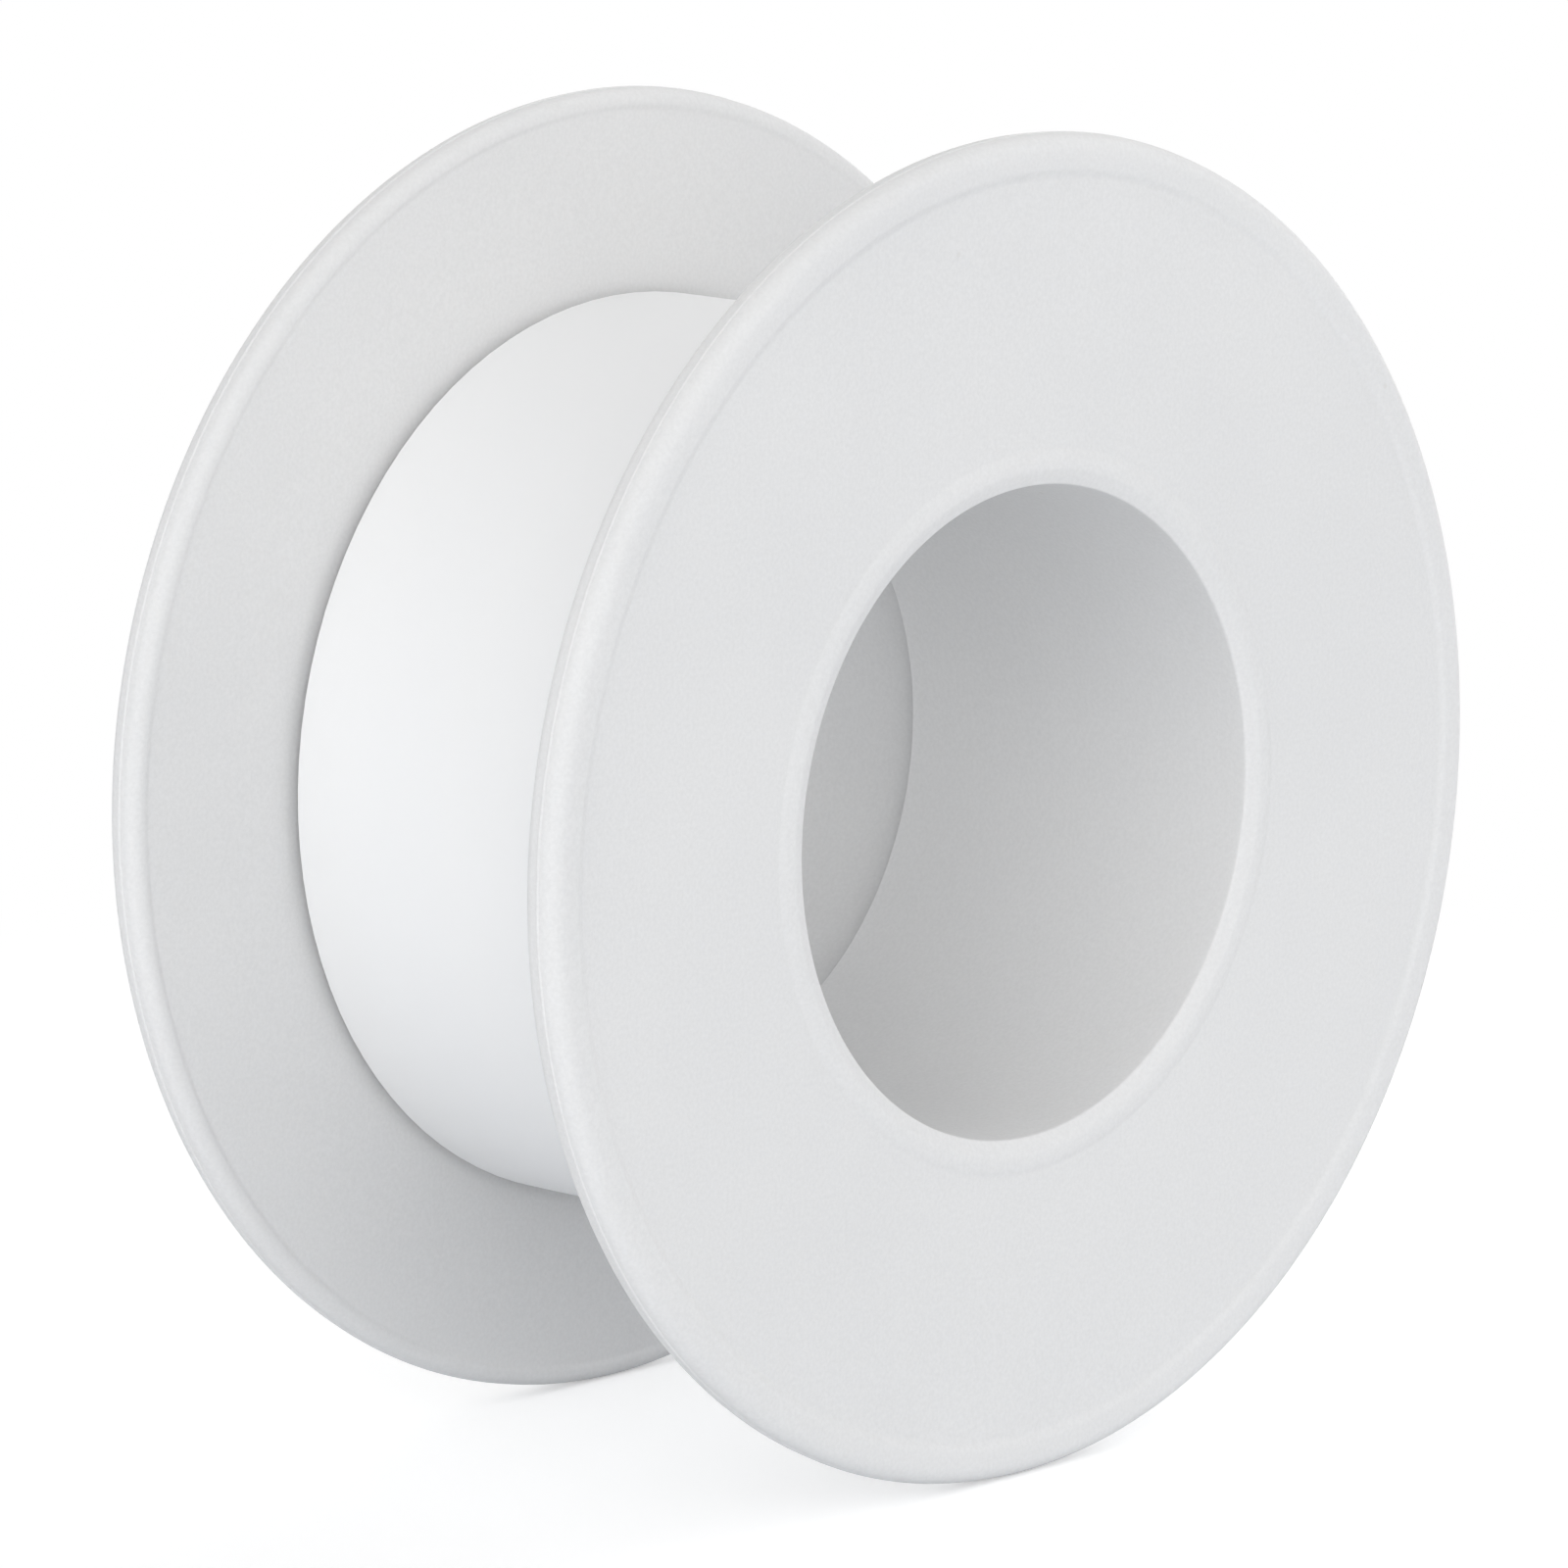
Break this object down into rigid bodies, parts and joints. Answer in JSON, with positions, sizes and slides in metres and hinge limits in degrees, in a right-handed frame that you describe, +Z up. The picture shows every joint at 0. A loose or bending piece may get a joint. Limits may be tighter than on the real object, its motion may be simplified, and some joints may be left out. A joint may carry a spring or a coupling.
{
  "type": "thread seal tape roll",
  "caption": "Roll of white thread seal tape on an open two-part moulded spool: round flanges with a rim bead, sleeves that plug together, and a free tape end that peels off.",
  "frame": {"origin": "middle of the spool on its axle, half way between the two flanges", "axes": "+Y along the axle from the front half to the rear half, +Z up as the roll stands on its rims"},
  "size_m": [0.036, 0.0166, 0.036],
  "materials": {
    "spool_plastic": "satin moulded white",
    "tape_film": "smooth waxy white film"
  },
  "bodies": {
    "front_half": {"front_spool_half": "spool_plastic"},
    "wound_half": {"rear_spool_half": "spool_plastic", "tape_winding": "tape_film", "tape_outer_turn": "tape_film"},
    "free_end": {"tape_free_end": "tape_film"}
  },
  "joints": [
    {"name": "half_swivel", "type": "hinge", "parent": "front_half", "child": "wound_half", "pos_m": [0, 0, 0], "axis": [0, 1, 0], "continuous": true},
    {"name": "free_end_peel", "type": "hinge", "parent": "wound_half", "child": "free_end", "pos_m": [0.00801, 0, 0.00954], "axis": [0, -1, 0], "range_deg": [0, 100]}
  ]
}
